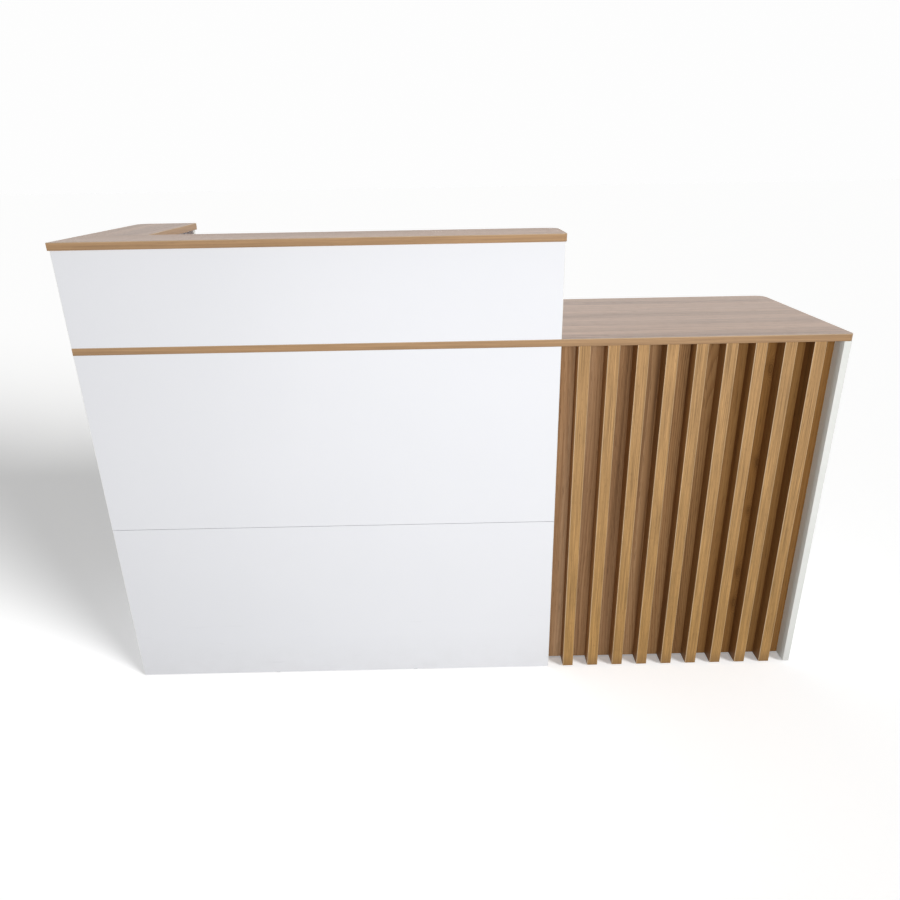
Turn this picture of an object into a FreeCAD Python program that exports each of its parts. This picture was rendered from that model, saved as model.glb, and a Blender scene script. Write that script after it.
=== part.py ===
import FreeCAD, Part
import os
import re

import Sketcher

# A free-standing service counter, seen by the customer from the front. A tall section on the left has
# white fronts and a raised oak ledge that turns the corner. A low section on the right has a row of oak
# slats before an oak back panel. One oak worktop runs through both.
# Lengths are in millimetres. +X runs to the customer's right, +Y towards the staff and +Z up.
# The origin is on the floor, under the middle of the counter's box.

SIZES = {
    # The whole counter, over its white boards.
    "counter_width": 1600,
    "counter_depth": 490,
    "tall_width": 1000,
    "worktop_height": 815,
    "ledge_height": 1020,
    "board_thickness": 15,
    # The oak tops: how wide the ledge is, how far it and the worktop's right end stand out, the plan
    # radii of the free corners, and the glued band on the edges with its rounded arris.
    "ledge_width": 145,
    "top_overhang": 3,
    "corner_radius": 25,
    "small_corner_radius": 10,
    "band_thickness": 1,
    "arris_radius": 0.6,
    # The slats, which share their section's width with equal gaps between them.
    "slat_width": 25,
    "slat_depth": 40,
    # The gap that shows as a thin line between the two lower fronts.
    "seam_gap": 1,
    # The staff side: how far the upright panels stop behind the worktop's rear edge, the rails behind
    # the fronts, the ledge supports, and the low section's base and shelf.
    "rear_setback": 10,
    "rail_height": 80,
    "support_setback": 15,
    "return_support_setback": 5,
    "base_height": 60,
    "plinth_setback": 30,
    "shelf_height": 440,
    "shelf_gap": 2,
    # Steel angle brackets with one screw in each leg, and a smaller kind round the raised part.
    "bracket_leg": 25,
    "bracket_hole_place": 15,
    "small_bracket_leg": 15,
    "small_bracket_hole_place": 9,
    "bracket_width": 18,
    "bracket_thickness": 2,
    "bracket_hole_radius": 2.2,
    "bend_radius": 1.5,
    # Screws: pan heads on the brackets, countersunk heads in the rails and behind the slats.
    "screw_radius": 1.75,
    "pan_head_radius": 3.5,
    "pan_head_height": 2,
    "bracket_screw_length": 12,
    "countersunk_radius": 3.8,
    "rail_screw_length": 25,
    "slat_screw_length": 35,
    "screw_tip": 4,
    # Dowels in the ledge's corner joint, and pins under the shelf in their row of holes.
    "dowel_radius": 4,
    "dowel_length": 30,
    "dowel_chamfer": 1,
    "pin_radius": 2.5,
    "pin_depth": 8,
    "pin_reach": 8,
    "pin_pitch": 32,
    # Nailed glides lift the boards off the floor.
    "floor_gap": 3,
    "glide_radius": 7,
    "glide_chamfer": 1,
    "nail_radius": 1,
    "nail_length": 14,
    # Bores are this much wider and deeper than what sits in them, and start this far outside the wood.
    "bore_clearance": 0.15,
    "overrun": 1,
}

SLAT_COUNT = 9
SLAT_SCREW_SHARES = (0.15, 0.45, 0.85)
RAIL_SCREW_SHARES = (0.12, 0.5, 0.88)
PIN_ROW_STEPS = (-2, -1, 0, 1, 2)
SHELF_PIN_SHARES = (0.15, 0.85)
DOWEL_SHARES = (0.22, 0.5, 0.78)
GLIDE_SHARES = (0.1, 0.9)
FRONT_GLIDE_SHARES = (0.33, 0.67)
PAN_CROWN_SHARE = 0.7
PAN_SHOULDER_SHARE = 0.5
MIDDLE_SHARE = 0.5
END_BRACKET_SHARES = (0.2, 0.8)
SIDE_BRACKET_SHARES = (0.25, 0.8)
FRONT_BRACKET_SHARES = (0.25, 0.75)
# In the raised part the brackets under the ledge stand beside those on the worktop, not over them.
ON_WORKTOP_FRONT_SHARES = (0.2, 0.8)
ON_WORKTOP_SIDE_SHARES = (0.2, 0.65)
ON_WORKTOP_SUPPORT_SHARE = 0.3
UNDER_LEDGE_FRONT_SHARES = (0.1, 0.35, 0.65, 0.9)
UNDER_LEDGE_SIDE_SHARES = (0.05, 0.42, 0.9)
UNDER_LEDGE_SUPPORT_SHARE = 0.7
ON_WORKTOP_REAR_SHARE = 0.65
UNDER_LEDGE_REAR_SHARE = 0.35

# Places that follow from the sizes. A lower-case word in a formula is a size in the sheet.
LEFT = "(0 - counter_width / 2)"
RIGHT = "(counter_width / 2)"
FRONT = "((top_overhang - counter_depth) / 2)"
REAR = "((top_overhang + counter_depth) / 2)"
INSIDE_LEFT = f"({LEFT} + board_thickness)"
INSIDE_RIGHT = f"({RIGHT} - board_thickness)"
TALL_RIGHT = f"({LEFT} + tall_width)"
DIVIDER_LEFT = f"({TALL_RIGHT} - board_thickness)"
BEHIND_FRONTS = f"({FRONT} + board_thickness)"
BEHIND_RAILS = f"({BEHIND_FRONTS} + board_thickness)"
SLAT_REAR = f"({FRONT} + slat_depth)"
BEHIND_SLATS = f"({SLAT_REAR} + board_thickness)"
PANEL_REAR = f"({REAR} - rear_setback)"
PLINTH_FRONT = f"({PANEL_REAR} - plinth_setback - board_thickness)"
UNDER_WORKTOP = "(worktop_height - board_thickness)"
UNDER_LEDGE = "(ledge_height - board_thickness)"
SEAM = f"((floor_gap + {UNDER_WORKTOP}) / 2)"
RAIL_TOP = "(floor_gap + rail_height)"
LEDGE_LEFT = f"({LEFT} - top_overhang)"
LEDGE_FRONT = f"({FRONT} - top_overhang)"
LEDGE_INNER = f"({LEDGE_LEFT} + ledge_width)"
LEDGE_RIGHT = f"({TALL_RIGHT} + top_overhang)"
LEDGE_REAR = f"({LEDGE_FRONT} + ledge_width)"
LEDGE_JOINT = f"({LEDGE_REAR} - band_thickness)"
MIDDLE_SUPPORT_LEFT = f"({LEFT} + (tall_width - board_thickness) / 2)"
REAR_SUPPORT_FRONT = f"({PANEL_REAR} - board_thickness)"
SLAT_GAP = f"(({INSIDE_RIGHT} - {TALL_RIGHT} - {SLAT_COUNT} * slat_width) / {SLAT_COUNT + 1})"

# Directions, and the turns that make a fastener's own +Z face each way.
X_AXIS = FreeCAD.Vector(1, 0, 0)
Y_AXIS = FreeCAD.Vector(0, 1, 0)
Z_AXIS = FreeCAD.Vector(0, 0, 1)
QUARTER_TURN = 90
UPRIGHT = FreeCAD.Rotation()
FACING_REAR = FreeCAD.Rotation(X_AXIS, -QUARTER_TURN)
FACING_RIGHT = FreeCAD.Rotation(Y_AXIS, QUARTER_TURN)
FACING_LEFT = FreeCAD.Rotation(Y_AXIS, -QUARTER_TURN)


def bracket_turn(first_leg, second_leg):
    """The turn that lays a bracket's two legs along two directions."""
    return FreeCAD.Rotation(first_leg, second_leg, first_leg.cross(second_leg), "XYZ")


# How a bracket lies: in an upright corner, under a board or on one, and where its other leg reaches.
CORNER_RIGHT = bracket_turn(X_AXIS, Y_AXIS)
CORNER_LEFT = bracket_turn(-X_AXIS, Y_AXIS)
UNDER_RIGHT = bracket_turn(X_AXIS, -Z_AXIS)
UNDER_LEFT = bracket_turn(-X_AXIS, -Z_AXIS)
UNDER_REAR = bracket_turn(Y_AXIS, -Z_AXIS)
UNDER_FRONT = bracket_turn(-Y_AXIS, -Z_AXIS)
ON_RIGHT = bracket_turn(X_AXIS, Z_AXIS)
ON_LEFT = bracket_turn(-X_AXIS, Z_AXIS)
ON_REAR = bracket_turn(Y_AXIS, Z_AXIS)
ON_FRONT = bracket_turn(-Y_AXIS, Z_AXIS)

# The plane that a board's face is sketched on, for each way its thickness can run.
FACE_PLANES = {"x": "YZ_Plane", "y": "XZ_Plane", "z": "XY_Plane"}
# A side's axis number, and whether it is the axis's high end.
SIDES = {"left": (0, False), "right": (0, True), "front": (1, False), "rear": (1, True)}
# The free corners of each oak top, by the radius they take. A corner is named by the side whose end
# it is at and the side it then lies towards.
RIGHT_END_CORNERS = {
    "corner_radius": (("right", "rear"),),
    "small_corner_radius": (("right", "front"),),
}
REAR_END_CORNERS = {
    "corner_radius": (("rear", "left"),),
    "small_corner_radius": (("rear", "right"),),
}
# A sketch is drawn at this size before its constraints give it the real one.
DRAFT_SIZE = 50

doc = FreeCAD.newDocument("service_counter")
nodes = {}
blanks = {}
white_strips = []
slat_strips = []
bores = []


def make_sheet():
    """Put every driving size in the sheet, each under its own name."""
    sheet = doc.addObject("Spreadsheet::Sheet", "sizes")
    for row, (name, size) in enumerate(SIZES.items(), 1):
        sheet.set("A%d" % row, name)
        sheet.set("B%d" % row, str(size))
        sheet.setAlias("B%d" % row, name)
    doc.recompute()


def bind(thing, path, formula):
    """Tie one property to a formula in the sheet's names."""
    thing.setExpression(path, re.sub(r"[a-z][a-z_]+", r"sizes.\g<0>", formula))


def place(thing, point, turn=UPRIGHT):
    """Turn an object, and tie its place to three formulas."""
    thing.Placement = FreeCAD.Placement(FreeCAD.Vector(), turn)
    for axis, formula in zip("xyz", point):
        bind(thing, "Placement.Base." + axis, formula)


def between(low, high, share):
    """The place a share of the way from one formula to another."""
    return f"({low} + ({high} - {low}) * {share})"


def sketch_on(body, role):
    """An empty sketch on one of the body's own origin planes."""
    plane = next(item for item in body.Origin.OriginFeatures if item.Role == role)
    sketch = body.newObject("Sketcher::SketchObject", body.Name + "_" + role)
    sketch.AttachmentSupport = [(plane, "")]
    sketch.MapMode = "FlatFace"
    return sketch


def draw_polygon(sketch, points):
    """Draw a closed outline whose corners are tied to pairs of formulas."""
    count = len(points)
    turn = 360 / count
    spots = []
    for number in range(count):
        spoke = FreeCAD.Rotation(Z_AXIS, turn * number).multVec(X_AXIS * DRAFT_SIZE)
        spots.append(spoke + X_AXIS * DRAFT_SIZE)
    for number in range(count):
        sketch.addGeometry(Part.LineSegment(spots[number], spots[(number + 1) % count]))
    for number, (across, along) in enumerate(points):
        sketch.addConstraint(Sketcher.Constraint("Coincident", number, 1, (number - 1) % count, 2))
        tie_point(sketch, number, "DistanceX", across, -2)
        tie_point(sketch, number, "DistanceY", along, -1)


def tie_point(sketch, number, kind, formula, axis_line):
    """Tie one corner's distance from the origin, or put the corner on the axis if it is zero."""
    if formula == "0":
        sketch.addConstraint(Sketcher.Constraint("PointOnObject", number, 1, axis_line))
        return
    index = sketch.addConstraint(Sketcher.Constraint(kind, -1, 1, number, 1, DRAFT_SIZE))
    name = "%s_%d" % (kind, number)
    sketch.renameConstraint(index, name)
    bind(sketch, "Constraints." + name, formula)


def board(name, low, high, thin_axis):
    """A flat board between two corners, sketched on its face and padded by its thickness."""
    body = doc.addObject("PartDesign::Body", name)
    spans = {axis: f"({end} - {start})" for axis, start, end in zip("xyz", low, high)}
    across, along = [spans[axis] for axis in "xyz" if axis != thin_axis]
    sketch = sketch_on(body, FACE_PLANES[thin_axis])
    draw_polygon(sketch, (("0", "0"), (across, "0"), (across, along), ("0", along)))
    pad = body.newObject("PartDesign::Pad", name + "_pad")
    pad.Profile = sketch
    pad.Reversed = thin_axis == "y"
    bind(pad, "Length", spans[thin_axis])
    place(body, low)
    doc.recompute()
    return body


def fillet(body, edges, radius):
    """Round the named edges of a body's last feature."""
    base = body.Tip
    rounding = body.newObject("PartDesign::Fillet", body.Name + "_rounding")
    rounding.Base = (base, edges)
    bind(rounding, "Radius", radius)
    doc.recompute()


def corner_edge(body, corner):
    """The upright edge at the end of one side that lies furthest towards another."""
    places = []
    for number, edge in enumerate(body.Tip.Shape.Edges, 1):
        if round(abs(edge.tangentAt(edge.FirstParameter).z)) == 1:
            reach = []
            for side in corner:
                axis, at_high_end = SIDES[side]
                along = edge.CenterOfMass[axis]
                reach.append(round(along if at_high_end else -along, 3))
            places.append((reach, number))
    return "Edge%d" % max(places)[1]


def round_corners(body, corners, drawn_in="0"):
    """Round a top's free corners, each kind with its own radius."""
    for radius, kind in corners.items():
        edges = [corner_edge(body, corner) for corner in kind]
        fillet(body, edges, f"({radius} - {drawn_in})")


def rim_edges(body):
    """All edges round the top and the underside."""
    shape = body.Tip.Shape
    middle = shape.BoundBox.Center.z
    names = []
    for number, edge in enumerate(shape.Edges, 1):
        is_level = edge.BoundBox.ZLength < abs(edge.CenterOfMass.z - middle)
        if is_level:
            names.append("Edge%d" % number)
    return names


def bend_edge(body):
    """The edge along the body's own Z axis."""
    shape = body.Tip.Shape
    places = [(edge.CenterOfMass.Length, number) for number, edge in enumerate(shape.Edges, 1)]
    return ["Edge%d" % min(places)[1]]


def face_edges(body, side):
    """The edges round the face on one side."""
    axis, at_high_end = SIDES[side]
    shape = body.Tip.Shape
    places = [(edge.CenterOfMass[axis], number) for number, edge in enumerate(shape.Edges, 1)]
    outermost = max(places)[0] if at_high_end else min(places)[0]
    return ["Edge%d" % number for at, number in places if round(at - outermost, 3) == 0]


def inset(low, high, sides):
    """Draw the given sides in by the edge band's thickness."""
    low, high = list(low), list(high)
    for side in sides:
        axis, at_high_end = SIDES[side]
        if at_high_end:
            high[axis] = f"({high[axis]} - band_thickness)"
        else:
            low[axis] = f"({low[axis]} + band_thickness)"
    return low, high


def edge_strip(name, low, high, side):
    """A straight glued band on one side of a board, with its outer arrises rounded."""
    axis, at_high_end = SIDES[side]
    low, high = list(low), list(high)
    if at_high_end:
        low[axis] = f"({high[axis]} - band_thickness)"
    else:
        high[axis] = f"({low[axis]} + band_thickness)"
    strip = board(name, low, high, "xyz"[axis])
    fillet(strip, face_edges(strip, side), "arris_radius")
    return strip


def white_board(name, low, high, thin_axis, banded=()):
    """A white board with glued strips on the sides that show."""
    for side in banded:
        white_strips.append(edge_strip(f"{name}_{side}_strip", low, high, side))
        low, high = inset(low, high, (side,))
    blanks[name] = board(name + "_blank", low, high, thin_axis)


def oak_board(name, low, high, corners):
    """An oak board without its edge band, rounded at the given corners."""
    core = board(name + "_core", low, high, "z")
    round_corners(core, corners, "band_thickness")
    blanks[name] = core
    return core


def oak_band(name, outline, corners, cores):
    """The band round the edges of one or two oak boards, inside their common outline."""
    round_corners(outline, corners)
    fillet(outline, rim_edges(outline), "arris_radius")
    band = doc.addObject("Part::Cut", name + "_blank")
    band.Base = outline
    band.Tool = gather(name + "_cores", cores)
    blanks[name] = band


def lathe(name, profile):
    """A turned piece about its own +Z, from the radius and height of each corner."""
    body = doc.addObject("PartDesign::Body", name)
    sketch = sketch_on(body, "XZ_Plane")
    draw_polygon(sketch, profile)
    turning = body.newObject("PartDesign::Revolution", name + "_turning")
    turning.Profile = sketch
    turning.ReferenceAxis = (sketch, ["V_Axis"])
    doc.recompute()
    return body


def copies(name, master, places):
    """Copies of one piece, each at its point and turn."""
    links = []
    for number, (point, turn) in enumerate(places, 1):
        link = doc.addObject("App::Link", "%s_%d" % (name, number))
        link.LinkedObject = master
        place(link, point, turn)
        links.append(link)
    return links


def gather(name, members):
    """One group of separate solids."""
    group = doc.addObject("Part::Compound", name)
    group.Links = members
    return group


def make_tall_section():
    """The white boards of the tall section, up to the ledge."""
    white_board(
        "left_side_panel",
        (LEFT, BEHIND_FRONTS, "floor_gap"),
        (INSIDE_LEFT, PANEL_REAR, UNDER_WORKTOP),
        "x",
        ("rear",),
    )
    white_board(
        "divider_panel",
        (DIVIDER_LEFT, BEHIND_FRONTS, "floor_gap"),
        (TALL_RIGHT, PANEL_REAR, UNDER_WORKTOP),
        "x",
        ("rear",),
    )
    half_seam = "(seam_gap / 2)"
    fronts = {
        "lower_front_panel": ("floor_gap", f"({SEAM} - {half_seam})"),
        "middle_front_panel": (f"({SEAM} + {half_seam})", UNDER_WORKTOP),
        "upper_front_panel": ("worktop_height", UNDER_LEDGE),
    }
    for name, (bottom, top) in fronts.items():
        low = (LEFT, FRONT, bottom)
        high = (TALL_RIGHT, BEHIND_FRONTS, top)
        white_board(name, low, high, "y", ("left", "right"))
    white_board(
        "upper_side_panel",
        (LEFT, BEHIND_FRONTS, "worktop_height"),
        (INSIDE_LEFT, PANEL_REAR, UNDER_LEDGE),
        "x",
        ("rear",),
    )


def make_ledge_supports():
    """Two small boards behind the upper front, and one under the rear end of the ledge's return."""
    for name, left in (
        ("ledge_support_middle", MIDDLE_SUPPORT_LEFT),
        ("ledge_support_right", DIVIDER_LEFT),
    ):
        low = (left, BEHIND_FRONTS, "worktop_height")
        high = (f"({left} + board_thickness)", f"({LEDGE_REAR} - support_setback)", UNDER_LEDGE)
        white_board(name, low, high, "x", ("rear",))
    white_board(
        "ledge_support_rear",
        (INSIDE_LEFT, REAR_SUPPORT_FRONT, "worktop_height"),
        (f"({LEDGE_INNER} - return_support_setback)", PANEL_REAR, UNDER_LEDGE),
        "y",
        ("right",),
    )


def make_rails():
    """Rails that stiffen the fronts from behind: one over the seam, one at the foot."""
    half_rail = "(rail_height / 2)"
    for name, bottom, top in (
        ("seam_rail", f"({SEAM} - {half_rail})", f"({SEAM} + {half_rail})"),
        ("bottom_rail", "floor_gap", RAIL_TOP),
    ):
        low = (INSIDE_LEFT, BEHIND_FRONTS, bottom)
        high = (DIVIDER_LEFT, BEHIND_RAILS, top)
        white_board(name, low, high, "y")


def make_low_section():
    """The boards of the low section: its end, its oak back panel, and the staff's base and shelf."""
    white_board(
        "right_end_panel",
        (INSIDE_RIGHT, FRONT, "floor_gap"),
        (RIGHT, PANEL_REAR, UNDER_WORKTOP),
        "x",
        ("front", "rear"),
    )
    blanks["slat_back_panel"] = board(
        "slat_back_panel_blank",
        (TALL_RIGHT, SLAT_REAR, "floor_gap"),
        (INSIDE_RIGHT, BEHIND_SLATS, UNDER_WORKTOP),
        "y",
    )
    white_board(
        "base_board",
        (TALL_RIGHT, BEHIND_SLATS, "base_height"),
        (INSIDE_RIGHT, PANEL_REAR, "(base_height + board_thickness)"),
        "z",
        ("rear",),
    )
    white_board(
        "plinth_rail",
        (TALL_RIGHT, PLINTH_FRONT, "floor_gap"),
        (INSIDE_RIGHT, f"({PLINTH_FRONT} + board_thickness)", "base_height"),
        "y",
    )
    white_board(
        "shelf",
        (f"({TALL_RIGHT} + shelf_gap)", f"({BEHIND_SLATS} + shelf_gap)", "shelf_height"),
        (f"({INSIDE_RIGHT} - shelf_gap)", PANEL_REAR, "(shelf_height + board_thickness)"),
        "z",
        ("rear",),
    )


def make_slats():
    """The upright slats, each with a band on its front, and the screws that hold them from behind."""
    screw_places = []
    for number in range(1, SLAT_COUNT + 1):
        left = f"({TALL_RIGHT} + {number} * {SLAT_GAP} + {number - 1} * slat_width)"
        low = (left, FRONT, "floor_gap")
        high = (f"({left} + slat_width)", SLAT_REAR, UNDER_WORKTOP)
        name = "slat_%d" % number
        slat_strips.append(edge_strip(name + "_strip", low, high, "front"))
        blanks[name] = board(name + "_blank", *inset(low, high, ("front",)), "x")
        for share in SLAT_SCREW_SHARES:
            height = between("floor_gap", UNDER_WORKTOP, share)
            point = (f"({left} + slat_width / 2)", BEHIND_SLATS, height)
            screw_places.append((point, FACING_REAR))
    add_countersunk_screws("slat_screws", "slat_screw_length", screw_places)


def make_worktop():
    """The worktop with its edge band, rounded at the two free corners on the right."""
    low = (LEFT, FRONT, UNDER_WORKTOP)
    high = (f"({RIGHT} + top_overhang)", REAR, "worktop_height")
    core = oak_board("worktop", *inset(low, high, SIDES), RIGHT_END_CORNERS)
    outline = board("worktop_outline", low, high, "z")
    oak_band("worktop_edge_band", outline, RIGHT_END_CORNERS, [core])


def make_ledge():
    """The ledge: a front board, a return board behind its left end, and one band round both."""
    low = (LEDGE_LEFT, LEDGE_FRONT, UNDER_LEDGE)
    high = (LEDGE_RIGHT, LEDGE_REAR, "ledge_height")
    front = oak_board("ledge_front_board", *inset(low, high, SIDES), RIGHT_END_CORNERS)
    low = (LEDGE_LEFT, LEDGE_JOINT, UNDER_LEDGE)
    high = (LEDGE_INNER, REAR, "ledge_height")
    low, high = inset(low, high, ("left", "right", "rear"))
    behind = oak_board("ledge_return_board", low, high, REAR_END_CORNERS)
    outline = doc.addObject("PartDesign::Body", "ledge_outline")
    sketch = sketch_on(outline, "XY_Plane")
    length = f"({LEDGE_RIGHT} - {LEDGE_LEFT})"
    depth = f"({REAR} - {LEDGE_FRONT})"
    points = (
        ("0", "0"),
        (length, "0"),
        (length, "ledge_width"),
        ("ledge_width", "ledge_width"),
        ("ledge_width", depth),
        ("0", depth),
    )
    draw_polygon(sketch, points)
    pad = outline.newObject("PartDesign::Pad", "ledge_outline_pad")
    pad.Profile = sketch
    bind(pad, "Length", "board_thickness")
    place(outline, (LEDGE_LEFT, LEDGE_FRONT, UNDER_LEDGE))
    doc.recompute()
    corners = {
        radius: RIGHT_END_CORNERS[radius] + REAR_END_CORNERS[radius] for radius in RIGHT_END_CORNERS
    }
    oak_band("ledge_edge_band", outline, corners, [front, behind])


def add_countersunk_screws(name, length, places):
    """A group of screws whose heads lie flush in the board, and their bores."""
    screw = lathe(
        name + "_master",
        (
            ("0", "0"),
            ("countersunk_radius", "0"),
            ("screw_radius", "(screw_radius - countersunk_radius)"),
            ("screw_radius", f"(0 - {length} + screw_tip)"),
            ("0", f"(0 - {length})"),
        ),
    )
    # The head's cone has a right angle, so it is as deep as it is wider than the shank.
    bore_radius = "(screw_radius + bore_clearance)"
    bore_bottom = f"(0 - {length} - bore_clearance)"
    bore = lathe(
        name + "_bore_master",
        (
            ("0", "overrun"),
            ("countersunk_radius", "overrun"),
            ("countersunk_radius", "0"),
            (bore_radius, f"({bore_radius} - countersunk_radius)"),
            (bore_radius, bore_bottom),
            ("0", bore_bottom),
        ),
    )
    nodes[name] = gather(name, copies(name, screw, places))
    bores.extend(copies(name + "_bore", bore, places))


def make_rail_screws():
    """Screws through the rails into the fronts, two rows over the seam and one at the foot."""
    quarter_rail = "(rail_height / 4)"
    places = []
    for share in RAIL_SCREW_SHARES:
        across = between(INSIDE_LEFT, DIVIDER_LEFT, share)
        for height in (f"({SEAM} - {quarter_rail})", f"({SEAM} + {quarter_rail})"):
            places.append(((across, BEHIND_RAILS, height), FACING_REAR))
        middle = between("floor_gap", RAIL_TOP, MIDDLE_SHARE)
        places.append(((across, BEHIND_RAILS, middle), FACING_REAR))
    add_countersunk_screws("rail_screws", "rail_screw_length", places)


def bracket_places():
    """The inner corner and the turn of every bracket below the worktop."""
    places = []
    # Under the worktop, against each upright panel, the fronts and the slats' back panel.
    for share in SIDE_BRACKET_SHARES:
        depth = between(BEHIND_SLATS, PANEL_REAR, share)
        places.append(((INSIDE_LEFT, depth, UNDER_WORKTOP), UNDER_RIGHT))
        places.append(((DIVIDER_LEFT, depth, UNDER_WORKTOP), UNDER_LEFT))
        places.append(((INSIDE_RIGHT, depth, UNDER_WORKTOP), UNDER_LEFT))
    for share in FRONT_BRACKET_SHARES:
        across = between(INSIDE_LEFT, DIVIDER_LEFT, share)
        places.append(((across, BEHIND_FRONTS, UNDER_WORKTOP), UNDER_REAR))
        across = between(TALL_RIGHT, INSIDE_RIGHT, share)
        places.append(((across, BEHIND_SLATS, UNDER_WORKTOP), UNDER_REAR))
    # In the upright corners of the tall section, clear of the rails.
    half_rail = "(rail_height / 2)"
    for bottom, top in (
        (RAIL_TOP, f"({SEAM} - {half_rail})"),
        (f"({SEAM} + {half_rail})", UNDER_WORKTOP),
    ):
        for share in END_BRACKET_SHARES:
            height = between(bottom, top, share)
            places.append(((INSIDE_LEFT, BEHIND_FRONTS, height), CORNER_RIGHT))
            places.append(((DIVIDER_LEFT, BEHIND_FRONTS, height), CORNER_LEFT))
    # At the ends of the rails.
    for height in (SEAM, between("floor_gap", RAIL_TOP, MIDDLE_SHARE)):
        places.append(((INSIDE_LEFT, BEHIND_RAILS, height), CORNER_RIGHT))
        places.append(((DIVIDER_LEFT, BEHIND_RAILS, height), CORNER_LEFT))
    # In the upright corners of the low section.
    for share in SIDE_BRACKET_SHARES:
        height = between("base_height", UNDER_WORKTOP, share)
        places.append(((TALL_RIGHT, BEHIND_SLATS, height), CORNER_RIGHT))
        places.append(((INSIDE_RIGHT, BEHIND_SLATS, height), CORNER_LEFT))
    # Under the base board, against the panels and the plinth.
    for share in END_BRACKET_SHARES:
        depth = between(BEHIND_SLATS, PLINTH_FRONT, share)
        places.append(((TALL_RIGHT, depth, "base_height"), UNDER_RIGHT))
        places.append(((INSIDE_RIGHT, depth, "base_height"), UNDER_LEFT))
    for share in FRONT_BRACKET_SHARES:
        across = between(TALL_RIGHT, INSIDE_RIGHT, share)
        places.append(((across, PLINTH_FRONT, "base_height"), UNDER_FRONT))
    return places


def small_bracket_places():
    """The inner corner and the turn of every bracket on the worktop and under the ledge."""
    places = []
    for height, turn, shares in (
        ("worktop_height", ON_REAR, ON_WORKTOP_FRONT_SHARES),
        (UNDER_LEDGE, UNDER_REAR, UNDER_LEDGE_FRONT_SHARES),
    ):
        for share in shares:
            across = between(INSIDE_LEFT, DIVIDER_LEFT, share)
            places.append(((across, BEHIND_FRONTS, height), turn))
    for height, turn, shares in (
        ("worktop_height", ON_RIGHT, ON_WORKTOP_SIDE_SHARES),
        (UNDER_LEDGE, UNDER_RIGHT, UNDER_LEDGE_SIDE_SHARES),
    ):
        for share in shares:
            depth = between(LEDGE_REAR, PANEL_REAR, share)
            places.append(((INSIDE_LEFT, depth, height), turn))
    for height, turn, share in (
        ("worktop_height", ON_LEFT, ON_WORKTOP_SUPPORT_SHARE),
        (UNDER_LEDGE, UNDER_LEFT, UNDER_LEDGE_SUPPORT_SHARE),
    ):
        depth = between(BEHIND_FRONTS, LEDGE_REAR, share)
        places.append(((MIDDLE_SUPPORT_LEFT, depth, height), turn))
        places.append(((DIVIDER_LEFT, depth, height), turn))
    for height, turn, share in (
        ("worktop_height", ON_FRONT, ON_WORKTOP_REAR_SHARE),
        (UNDER_LEDGE, UNDER_FRONT, UNDER_LEDGE_REAR_SHARE),
    ):
        across = between(INSIDE_LEFT, LEDGE_INNER, share)
        places.append(((across, REAR_SUPPORT_FRONT, height), turn))
    return places


def make_bracket(name, leg, hole_place):
    """One angle bracket: its outer corner lies on the Z axis, its legs along +X and +Y."""
    body = doc.addObject("PartDesign::Body", name)
    sketch = sketch_on(body, "XY_Plane")
    outline = (
        ("0", "0"),
        (leg, "0"),
        (leg, "bracket_thickness"),
        ("bracket_thickness", "bracket_thickness"),
        ("bracket_thickness", leg),
        ("0", leg),
    )
    draw_polygon(sketch, outline)
    pad = body.newObject("PartDesign::Pad", name + "_pad")
    pad.Profile = sketch
    pad.Midplane = True
    bind(pad, "Length", "bracket_width")
    doc.recompute()
    fillet(body, bend_edge(body), "bend_radius")
    for role in ("XZ_Plane", "YZ_Plane"):
        drill_bracket_leg(body, role, hole_place)
    return body


def drill_bracket_leg(body, role, hole_place):
    """A screw hole through one leg, cut both ways from the plane of the leg's outer face."""
    sketch = sketch_on(body, role)
    spot = X_AXIS * DRAFT_SIZE
    sketch.addGeometry(Part.Circle(spot, Z_AXIS, DRAFT_SIZE))
    sketch.addConstraint(Sketcher.Constraint("PointOnObject", 0, 3, -1))
    place_index = sketch.addConstraint(Sketcher.Constraint("DistanceX", -1, 1, 0, 3, DRAFT_SIZE))
    sketch.renameConstraint(place_index, "hole_place")
    bind(sketch, "Constraints.hole_place", hole_place)
    radius_index = sketch.addConstraint(Sketcher.Constraint("Radius", 0, DRAFT_SIZE))
    sketch.renameConstraint(radius_index, "hole_radius")
    bind(sketch, "Constraints.hole_radius", "bracket_hole_radius")
    volume_before = body.Shape.Volume
    pocket = body.newObject("PartDesign::Pocket", body.Name + "_hole_" + role)
    pocket.Profile = sketch
    pocket.Type = "ThroughAll"
    pocket.Midplane = True
    doc.recompute()
    if body.Shape.Volume >= volume_before:
        raise RuntimeError("the hole through a bracket's leg cut nothing")


def make_bracket_screws():
    """The screw of the brackets, and its bore."""
    screw = lathe(
        "bracket_screw_master",
        (
            ("0", "pan_head_height"),
            (f"(pan_head_radius * {PAN_CROWN_SHARE})", "pan_head_height"),
            ("pan_head_radius", f"(pan_head_height * {PAN_SHOULDER_SHARE})"),
            ("pan_head_radius", "0"),
            ("screw_radius", "0"),
            ("screw_radius", "(0 - bracket_screw_length + screw_tip)"),
            ("0", "(0 - bracket_screw_length)"),
        ),
    )
    bore_bottom = "(0 - bracket_screw_length - bore_clearance)"
    bore = lathe(
        "bracket_screw_bore_master",
        (
            ("0", "0"),
            ("(screw_radius + bore_clearance)", "0"),
            ("(screw_radius + bore_clearance)", bore_bottom),
            ("0", bore_bottom),
        ),
    )
    return screw, bore


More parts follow.
